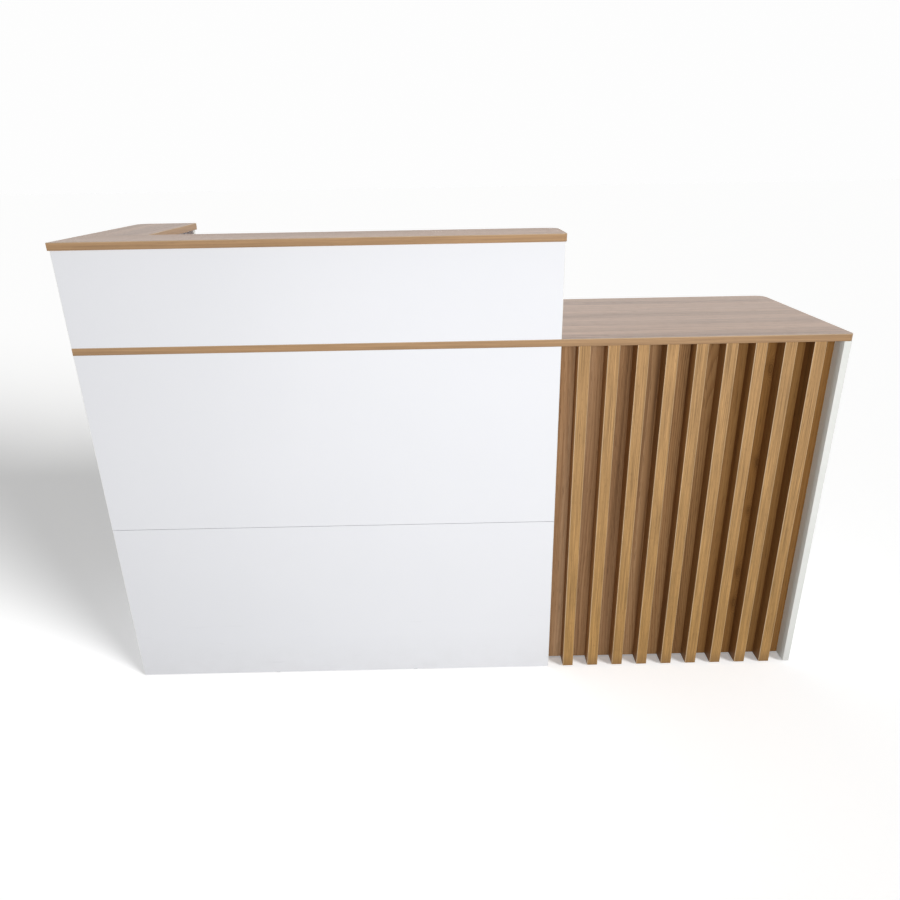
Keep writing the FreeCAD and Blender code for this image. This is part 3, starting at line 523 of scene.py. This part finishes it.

# %% [markdown]
# The finish puts it all together. The pores darken the colour, lie a few hundredths of a millimetre deep, and
# are duller than the coat around them. The worktop and the ledge have a clear coat that mirrors the room a
# little. The upright boards are nearly matt, and so `shine` is lower there. The panel behind the slats has
# painted light and shade: lighter and greyer at its left, darker and more golden at its right, and `drift`
# says from where, to where, and with which tints.


# %% Oak: the finish
def oak_board(name, along, across, tones, shift=0.0, knots=(), shine=0.2, gloss=0.42, streaks=1.7, fine=0.6,
              drift=None):
    """Oak-pattern board with its grain along one axis and its width along another."""
    finish, tree, shader, place = new_finish(name, IOR=1.5, Specular_IOR_Level=shine)
    bent_place, length, bent, straight = grain_place(tree, place, along, across, shift)
    knots = [(height + shift, aside, size) for height, aside, size in knots]
    year, arches, hearts = years(tree, bent_place, length, bent, straight, knots)
    late = calc(tree, "MULTIPLY_ADD", arches, 0.55, 0.45)
    late = calc(tree, "MULTIPLY", spread(tree, year, 0.45, 0.97), late)
    fibre = noise(tree, stretch(tree, bent_place, 5.0, 430.0, 430.0), roughness=0.6)
    tone = oak_tone(tree, bent_place, fibre, late, hearts, streaks, fine)
    colour = oak_colour(tree, bent_place, tone, tones)
    # Painted light and shade across the board: lighter where the drift starts, darker where it ends.
    if drift:
        start, end, first, last = drift
        colour = tinted(tree, colour, mix(tree, spread(tree, straight, start, end), (*first, 1), (*last, 1)))
    pore = oak_pores(tree, bent_place, year)
    in_pore = (*(0.35 * part for part in tones[0]), 1)
    colour = mix(tree, calc(tree, "MULTIPLY", pore, 0.55), colour, in_pore)
    dull = calc(tree, "MULTIPLY_ADD", pore, 0.2, gloss)
    relief = calc(tree, "MULTIPLY_ADD", pore, -1.0, calc(tree, "MULTIPLY", fibre, 0.45))
    coat(tree, shader, colour, calc(tree, "MULTIPLY_ADD", fibre, 0.08, dull), relief, 0.00006)
    return finish


print("oak finish ready")

# %% [markdown]
# Three boards lie flat and share the smoked tones: the worktop and the ledge's front board have their grain
# along the counter, and the ledge's return has it the other way. `shift` takes each board from another place
# of the tree. The back panel stands behind the slats, browner than the top, with its grain upright and a
# column of small knots between the seventh and the eighth slat.

# %% Oak for the worktop, the ledge and the back panel
TOP_TONES = ((0.180, 0.099, 0.060), (0.395, 0.243, 0.158), (0.53, 0.354, 0.245))
BACK_TONES = ((0.120, 0.054, 0.020), (0.315, 0.168, 0.072), (0.45, 0.266, 0.128))
# Each knot's height, its place across the panel and its size, in metres.
BACK_KNOTS = (
    (0.735, 0.656, 0.009),
    (0.520, 0.660, 0.010),
    (0.400, 0.656, 0.008),
    (0.238, 0.654, 0.009),
    (0.150, 0.655, 0.010),
)
# Painted light and shade on the back panel: lighter and greyer at the left, darker and more golden at the
# right.
BACK_PAINTED_SHADING = (0.26, 0.62, (1.25, 1.32, 1.5), (0.77, 0.68, 0.45))
top_grain = {"streaks": 1.05, "fine": 1.4}
ledge_coat = {"shine": 0.3, "gloss": 0.31}
worktop_oak = oak_board("smoked_oak_worktop", X, Y, TOP_TONES, shine=0.42, gloss=0.26, **top_grain)
ledge_oak = oak_board("smoked_oak_ledge", X, Y, TOP_TONES, shift=3.1, **ledge_coat, **top_grain)
return_oak = oak_board("smoked_oak_return", Y, X, TOP_TONES, shift=6.4, **ledge_coat, **top_grain)
back_oak = oak_board(
    "brown_oak_back", Z, X, BACK_TONES, shift=9.7, knots=BACK_KNOTS, streaks=1.15, fine=0.5, drift=BACK_PAINTED_SHADING
)
print("oak boards:", len(worktop_oak.node_tree.nodes), "nodes, with knots", len(back_oak.node_tree.nodes))

# %% [markdown]
# Each slat is cut from another place of a board, and so no two may match. The same helper makes a finish for
# each, shifted along the grain by more than a slat's length. The slats' sides are a deeper and warmer brown
# than the panel behind them. Each slat has its share of the tones, which is painted light and shade: the
# slats at the left are a little lighter, and those at the right darker.

# %% Oak for the slats
SLAT_TONES = ((0.113, 0.045, 0.012), (0.285, 0.124, 0.035), (0.41, 0.204, 0.066))
# Painted light and shade: each slat's share of the tones, lighter at the left and darker at the right.
SLAT_PAINTED_SHADING = (1.05, 1.08, 1.0, 0.98, 1.0, 0.84, 0.84, 0.8, 0.76)
SLAT_SHIFT = 1.37
slat_oaks = []
for number, share in enumerate(SLAT_PAINTED_SHADING, 1):
    tones = [tuple(part * share for part in tone) for tone in SLAT_TONES]
    slat_oaks.append(oak_board(f"warm_oak_slat_{number}", Z, Y, tones, shift=12.0 + SLAT_SHIFT * number))
print("slat finishes:", len(slat_oaks))

# %% [markdown]
# ## Oak edge bands
#
# The worktop's and the ledge's narrow edges, and the slats' fronts, carry a golden edge band. The board's own
# finish would be too coarse for it: it is a plastic strip with a simpler print, fine straight lines, hardly
# any pores, and more yellow than the board. Along a band that turns a corner, x plus y changes steadily, so
# that sum serves as the place along the grain. The upper arris gets a painted highlight and the lower one
# painted shade, and both front arrises of a slat get a painted highlight. On the slats the gold gets a little
# deeper towards the floor, which is painted shade, and the last few centimetres are darker. All nine slats
# share one finish, which knows where a slat begins and how far apart they stand, and so finds each one's
# arrises.

# %% Golden bands: print, painted highlights and painted shade
DARK_BROWN = (0.16, 0.085, 0.04, 1)
# Painted shade: the tint that deepens a slat's gold towards the floor.
SHADED_GOLD = (0.95, 0.91, 0.72, 1)
FIRST_SLAT = 0.236
SLAT_PITCH = 0.061


def band_print(tree, run, gold, lively):
    """The printed lines in darker and lighter gold, and two noises that the rest of the finish shares."""
    wide = noise(tree, stretch(tree, run, 2.2, 150.0, 1.0))
    lines = noise(tree, stretch(tree, run, 7.0, 620.0, 1.0), detail=3.0, roughness=0.62)
    fibres = noise(tree, stretch(tree, run, 11.0, 250.0, 1.0))
    specks = spread(tree, noise(tree, stretch(tree, run, 75.0, 1100.0, 1.0), detail=0.0), 0.64, 0.74)
    tone = sway(tree, 0.5, wide, 0.8)
    tone = sway(tree, tone, lines, lively)
    tone = sway(tree, tone, fibres, 0.45 * lively)
    ramp = add(tree, "ShaderNodeValToRGB", {"Fac": tone})
    ramp.color_ramp.elements[0].color = (*(0.62 * part for part in gold), 1)
    ramp.color_ramp.elements[1].color = (*(1.32 * part for part in gold), 1)
    colour = mix(tree, calc(tree, "MULTIPLY", specks, 0.14 * lively), ramp.outputs["Color"], DARK_BROWN)
    return colour, lines, fibres


def towards_the_floor(tree, height, fibres, colour):
    """Deepen a slat's gold from 70 cm down, as painted shade, and darken its lowest 35 mm."""
    # Painted shade: the gold grows deeper towards the floor. Then the lowest 35 mm are made darker.
    deeper = tinted(tree, colour, SHADED_GOLD)
    colour = mix(tree, spread(tree, height, 0.1, 0.7, 1.0, 0.0), colour, deeper)
    darker_foot = calc(tree, "MULTIPLY", spread(tree, height, 0.0, 0.035, 0.9, 0.0), fibres)
    return mix(tree, darker_foot, colour, DARK_BROWN)


def golden_band(name, along, across, gold, arrises, lively):
    """Golden oak edge band. Each arris is a place across the band, its reach, the tint of its painted highlight
    or painted shade, and its weight.
    """
    finish, tree, shader, place = new_finish(name, IOR=1.5, Specular_IOR_Level=0.25)
    parts = axes(tree, place)
    length = parts[Z] if along == Z else calc(tree, "ADD", parts[X], parts[Y])
    run = join_axes(tree, length, parts[across])
    colour, lines, fibres = band_print(tree, run, gold, lively)
    spot = parts[across]
    if along == Z:
        spot = calc(tree, "MODULO", calc(tree, "SUBTRACT", spot, FIRST_SLAT), SLAT_PITCH)
        colour = towards_the_floor(tree, parts[Z], fibres, colour)
    # Painted highlights and painted shade on the arrises, stronger in some places than in others.
    painted_arris_strength = calc(tree, "MULTIPLY_ADD", noise(tree, stretch(tree, run, 9.0, 1.0, 1.0)), 0.8, 0.25)
    for at, reach, tint, weight in arrises:
        away = calc(tree, "ABSOLUTE", calc(tree, "SUBTRACT", spot, at))
        near = spread(tree, away, 0.0, reach, weight, 0.0)
        colour = mix(tree, calc(tree, "MULTIPLY", near, painted_arris_strength), colour, tint)
    coat(tree, shader, colour, spread(tree, lines, 0.3, 0.7, 0.34, 0.46), lines, 0.00003)
    return finish


print("golden band helpers ready")

# %% Golden bands
TOP_GOLD = (0.43, 0.265, 0.142)
SLAT_GOLD = (0.440, 0.259, 0.114)
# A painted highlight for the arrises, and painted shade for the lower arris of the worktop and the ledge.
HIGHLIGHT_ARRIS = (0.74, 0.60, 0.42, 1)
SHADED_ARRIS = (0.20, 0.115, 0.06, 1)
# The upper and the lower arris of the worktop and of the ledge, and the left and the right one of a slat. The
# upper arrises and both of a slat's get a painted highlight, the lower ones painted shade.
worktop_arrises = ((0.815, 0.002, HIGHLIGHT_ARRIS, 0.8), (0.800, 0.004, SHADED_ARRIS, 0.45))
ledge_arrises = ((1.020, 0.002, HIGHLIGHT_ARRIS, 0.8), (1.005, 0.004, SHADED_ARRIS, 0.35))
slat_arrises = ((0.0, 0.0022, HIGHLIGHT_ARRIS, 1.0), (0.025, 0.0014, HIGHLIGHT_ARRIS, 0.7))
worktop_band = golden_band("golden_band_worktop", X, Z, TOP_GOLD, worktop_arrises, lively=1.0)
ledge_band = golden_band("golden_band_ledge", X, Z, TOP_GOLD, ledge_arrises, lively=1.0)
slat_band = golden_band("golden_band_slats", Z, X, SLAT_GOLD, slat_arrises, lively=2.3)
print("golden bands:", len(worktop_band.node_tree.nodes), "nodes, on the slats", len(slat_band.node_tree.nodes))

# %% [markdown]
# ## Metal
#
# Behind the white fronts sits the ironmongery that holds such a counter together. Angle brackets are bright
# zinc on steel. The screws have a yellow chromate coat, and the shelf pins are turned steel with a nickel
# coat. One grey for all would look like paint: zinc sets in flakes, so its tone changes from patch to patch,
# and the box that the parts came in leaves fine scratches.


# %% Metal
def coated_metal(name, low_tone, high_tone, flakes, low_rough, high_rough):
    """Steel under a thin metal coat, in patches of tone, with fine scratches. Flakes is how many to a metre."""
    finish, tree, shader, place = new_finish(name, Metallic=1.0)
    cloud = noise(tree, place, detail=3.0, roughness=0.6, scale=160.0)
    patch = patches(tree, place, flakes)
    tone = calc(tree, "MULTIPLY_ADD", patch, 0.45, calc(tree, "MULTIPLY", cloud, 0.55))
    scratch = noise(tree, stretch(tree, place, 260.0, 2600.0, 900.0), detail=1.0)
    colour = mix(tree, tone, (*low_tone, 1), (*high_tone, 1))
    rough = spread(tree, tone, 0.25, 0.75, low_rough, high_rough)
    coat(tree, shader, colour, rough, calc(tree, "ADD", scratch, cloud), 0.00002)
    return finish


bracket_zinc = coated_metal("bright_zinc", (0.50, 0.51, 0.53), (0.72, 0.73, 0.74), 420.0, 0.28, 0.42)
screw_coat = coated_metal("yellow_zinc", (0.52, 0.43, 0.23), (0.78, 0.68, 0.42), 900.0, 0.26, 0.38)
pin_nickel = coated_metal("nickel", (0.58, 0.56, 0.52), (0.74, 0.72, 0.68), 700.0, 0.18, 0.3)
print("metals:", bracket_zinc.name, screw_coat.name, pin_nickel.name)

# %% [markdown]
# ## Glides and dowels
#
# The counter stands on glides of white plastic, nailed into its boards. They are moulded, so they have the
# fine spark texture of their mould, and the floor has rubbed their high spots. The ledge's corner joint is
# pinned with beech dowels, of which little shows: pale pinkish wood with short dark flecks along the rod.


# %% Glide plastic and dowel wood
def moulded_plastic(name):
    """White plastic with the fine spark texture of its mould, rubbed shiny on its high spots."""
    finish, tree, shader, place = new_finish(name, IOR=1.49)
    spark = noise(tree, place, roughness=0.6, scale=1500.0)
    rub = noise(tree, place, detail=3.0, roughness=0.6, scale=120.0)
    colour = mix(tree, rub, (0.56, 0.56, 0.55, 1), (0.76, 0.76, 0.75, 1))
    coat(tree, shader, colour, spread(tree, rub, 0.3, 0.7, 0.38, 0.6), spark, 0.00003)
    return finish


def beech(name):
    """Beech rod, with its grain along y."""
    finish, tree, shader, place = new_finish(name, IOR=1.5)
    fleck = spread(tree, noise(tree, stretch(tree, place, 900.0, 110.0, 900.0), detail=1.0), 0.6, 0.7)
    ring = noise(tree, stretch(tree, place, 160.0, 12.0, 160.0))
    colour = mix(tree, spread(tree, ring, 0.3, 0.7), (0.50, 0.31, 0.18, 1), (0.66, 0.46, 0.30, 1))
    colour = mix(tree, calc(tree, "MULTIPLY", fleck, 0.6), colour, (0.26, 0.13, 0.07, 1))
    coat(tree, shader, colour, 0.62, ring, 0.00005)
    return finish


glide_white = moulded_plastic("glide_plastic")
dowel_beech = beech("dowel_beech")
print("plastic and beech:", glide_white.name, dowel_beech.name)

# %% [markdown]
# ## Hang the finishes on the boards
#
# A board from the CAD model keeps its mesh, and only the material in its slot is changed. It could be done
# board by board, but most boards find theirs in a table by the slot's name. A few go by their own name: the
# rails get the white with raw long edges, the end panel gets its warmer white with painted reflected light,
# the ledge has a band whose arrises are higher than the worktop's, and each slat has its own oak with its
# painted light and shade.

# %% Hang the finishes
by_slot = {
    "white_board": white_face,
    "white_edging": white_edging,
    "oak_worktop": worktop_oak,
    "oak_ledge": ledge_oak,
    "oak_ledge_return": return_oak,
    "oak_edging": worktop_band,
    "slat_edging": slat_band,
    "oak_back_panel": back_oak,
    "bracket_steel": bracket_zinc,
    "screw_steel": screw_coat,
    "pin_steel": pin_nickel,
    "dowel_wood": dowel_beech,
    "glide_plastic": glide_white,
}
by_name = {
    "right_end_panel": white_end,
    "ledge_edge_band": ledge_band,
    "seam_rail": white_rail,
    "bottom_rail": white_rail,
    "plinth_rail": white_rail,
}
for number, oak in enumerate(slat_oaks, 1):
    by_name[f"slat_{number}"] = oak
for name, node in sorted(nodes.items()):
    slot = node.material_slots[0]
    was = slot.material.name.split(".")[0]
    slot.material = by_name.get(name) or by_slot[was]
    print(f"{name}: {was} -> {slot.material.name}")

# %% [markdown]
# ## Screws with a cross recess
#
# The CAD model's screws are turned shapes, which is right for their size and place but leaves the heads
# blank. Three kinds are in the counter: small pan heads in the brackets' holes, and two lengths of flat
# countersunk heads, flush with the board. We model one of each as a turner would: a disc, a shank pulled out
# of it, a point, and then a cross is cut into the head. The cross could be a dark print, but light falls
# into a real recess from the side, so it is cut. `pick`, `select_faces` and `pull` do what the mouse would.


# %% Helpers for modelling
def pick(*objects):
    """Select these objects and no other, and make the first one active."""
    bpy.ops.object.select_all(action="DESELECT")
    for thing in objects:
        thing.select_set(True)
    bpy.context.view_layer.objects.active = objects[0]


def select_faces(rule):
    """In edit mode, select the faces whose normal the rule accepts."""
    bpy.ops.mesh.select_mode(type="FACE")
    bpy.ops.mesh.select_all(action="DESELECT")
    bpy.ops.object.mode_set(mode="OBJECT")
    for face in bpy.context.object.data.polygons:
        face.select = rule(face.normal)
    bpy.ops.object.mode_set(mode="EDIT")


def faces_up(normal):
    """The rule for faces that look up."""
    return normal.z > 0.5


def faces_down(normal):
    """The rule for faces that look down."""
    return normal.z < -0.5


def pull(step, size):
    """Extrude the selected faces by a step along z, and scale their outline in the plane."""
    bpy.ops.mesh.extrude_region_move(TRANSFORM_OT_translate={"value": (0, 0, step)})
    bpy.ops.transform.resize(value=(size, size, 1))


print("modelling helpers ready")

# %% [markdown]
# The recess is cut with a wedge, narrower at the bottom than at the top. A Boolean modifier takes the wedge
# away from the head, twice, with a quarter turn between, and that leaves the cross.


# %% The cross recess
def cut_recess(screw, width, deep):
    """Cut a cross into the head, with two wedges."""
    for turn in (0, 90):
        bpy.ops.object.select_all(action="DESELECT")
        bpy.ops.mesh.primitive_cube_add(size=1)
        wedge = bpy.context.object
        wedge.scale = (width, width * 0.2, deep * 2)
        wedge.rotation_euler.z = radians(turn)
        bpy.ops.object.transform_apply(location=False, rotation=False, scale=True)
        bpy.ops.object.mode_set(mode="EDIT")
        select_faces(faces_down)
        bpy.ops.transform.resize(value=(0.45, 0.7, 1), orient_type="LOCAL")
        bpy.ops.object.mode_set(mode="OBJECT")
        cut = screw.modifiers.new("recess", "BOOLEAN")
        cut.operation = "DIFFERENCE"
        cut.object = wedge
        pick(screw)
        bpy.ops.object.modifier_apply(modifier=cut.name)
        bpy.data.objects.remove(wedge)


print("recess helper ready")

# %% [markdown]
# Now the screw. The disc is its rim. A pan head gets two smaller steps on top of the disc, which round it,
# and its shank starts from an inset in the flat underside. A countersunk head slopes from the rim to the
# shank at 45 degrees. The last four millimetres taper to the point.

# %% Model one screw
SHANK_RADIUS = 0.00175
POINT_LENGTH = 0.004
POINT_WIDTH = 0.08
FLAT_RIM = 0.0003


def model_screw(name, head_radius, head_height, length, pan):
    """A screw whose head's top is at z = 0 and whose point looks down. pan is False for a countersunk head."""
    bpy.ops.object.select_all(action="DESELECT")
    rim = head_height * 0.5 if pan else FLAT_RIM
    middle = rim / 2 - head_height if pan else -rim / 2
    bpy.ops.mesh.primitive_cylinder_add(vertices=16, radius=head_radius, depth=rim, location=(0, 0, middle))
    screw = bpy.context.object
    screw.name = name
    bpy.ops.object.transform_apply(location=True)
    bpy.ops.object.mode_set(mode="EDIT")
    if pan:
        select_faces(faces_up)
        pull(head_height * 0.28, 0.85)
        pull(head_height * 0.22, 0.82)
    select_faces(faces_down)
    if pan:
        bpy.ops.mesh.inset(thickness=head_radius - SHANK_RADIUS)
        under = head_height
    else:
        pull(SHANK_RADIUS - head_radius, SHANK_RADIUS / head_radius)
        under = rim + head_radius - SHANK_RADIUS
    pull(under + POINT_LENGTH - length, 1.0)
    pull(-POINT_LENGTH, POINT_WIDTH)
    bpy.ops.object.mode_set(mode="OBJECT")
    cut_recess(screw, head_radius * 1.05, head_height * 0.6)
    bpy.ops.object.shade_smooth_by_angle(angle=radians(35))
    screw.data.materials.clear()
    screw.data.materials.append(screw_coat)
    print(name, "has", len(screw.data.polygons), "faces")
    return screw


pan_screw = model_screw("pan_screw", head_radius=0.0035, head_height=0.002, length=0.014, pan=True)
long_screw = model_screw("long_screw", head_radius=0.0038, head_height=0.002, length=0.035, pan=False)
short_screw = model_screw("short_screw", head_radius=0.0038, head_height=0.002, length=0.025, pan=False)

# %% [markdown]
# ## Put the screws in their places
#
# The counter has more than a hundred screws, and their places could be typed in. It is surer to ask the CAD
# model: a merged copy of its screws falls apart into single screws, and of each one we read the long axis,
# and at which of its ends the head sits. The copy itself is thrown away.


# %% Find the places of the screws
def read_screw(points):
    """From a screw's points, the middle of its head's top and the direction of its point."""
    low = Vector([min(point[axis] for point in points) for axis in range(3)])
    high = Vector([max(point[axis] for point in points) for axis in range(3)])
    middle = (low + high) / 2
    long_axis = max(range(3), key=lambda axis: high[axis] - low[axis])

    def from_axis(point):
        return (point - middle).length_squared - (point[long_axis] - middle[long_axis]) ** 2

    head_is_high = max(points, key=from_axis)[long_axis] > middle[long_axis]
    top = middle.copy()
    top[long_axis] = high[long_axis] if head_is_high else low[long_axis]
    point_way = Vector((0, 0, 0))
    point_way[long_axis] = -1 if head_is_high else 1
    return top, point_way


def screw_places(node):
    """What read_screw says of each screw of a CAD node, in an order that is always the same."""
    twin = node.copy()
    twin.data = node.data.copy()
    bpy.context.collection.objects.link(twin)
    twin.hide_viewport = False
    pick(twin)
    bpy.ops.object.mode_set(mode="EDIT")
    bpy.ops.mesh.select_all(action="SELECT")
    bpy.ops.mesh.remove_doubles(threshold=0.000001)
    bpy.ops.mesh.separate(type="LOOSE")
    bpy.ops.object.mode_set(mode="OBJECT")
    places = []
    for single in list(bpy.context.selected_objects):
        places.append(read_screw([vertex.co.copy() for vertex in single.data.vertices]))
        bpy.data.objects.remove(single)
    return sorted(places, key=lambda place: tuple(round(value, 4) for value in place[0]))


print("screws behind the slats:", len(screw_places(nodes["slat_screws"])))

# %% [markdown]
# Each copy has its own mesh, moved to its place and aimed along its axis. It also gets its own turn about
# that axis, because nobody stops all screws at the same angle. Then the copies of one kind are joined into
# one piece, which stands for the CAD model's plain ones and rides on the same body.

# %% Put the screws in
FULL_TURN = 6.28
POINT_DOWN = Vector((0, 0, -1))


def put_screws(name, master, node_name):
    """Copy the master to every place of the CAD node, each with its own turn, and join the copies."""
    turns = random.Random(len(name))
    copies = []
    for top, point_way in screw_places(nodes[node_name]):
        copy = master.copy()
        copy.data = master.data.copy()
        bpy.context.collection.objects.link(copy)
        aim = POINT_DOWN.rotation_difference(point_way).to_matrix().to_4x4()
        spin = Matrix.Rotation(turns.uniform(0, FULL_TURN), 4, "Z")
        copy.data.transform(Matrix.Translation(top) @ aim @ spin)
        copies.append(copy)
    pick(*copies)
    bpy.ops.object.join()
    screws = bpy.context.object
    screws.name = name
    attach(screws, "root")
    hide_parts(node_name)
    print(name, "stands for", len(copies), "screws,", len(screws.data.polygons), "faces")


put_screws("bracket_cross_screws", pan_screw, "bracket_screws")
put_screws("slat_cross_screws", long_screw, "slat_screws")
put_screws("rail_cross_screws", short_screw, "rail_screws")
for master in (pan_screw, long_screw, short_screw):
    bpy.data.objects.remove(master)

# %% [markdown]
# ## The end
#
# At the end, nothing stays selected.

# %% The end
bpy.ops.object.select_all(action="DESELECT")
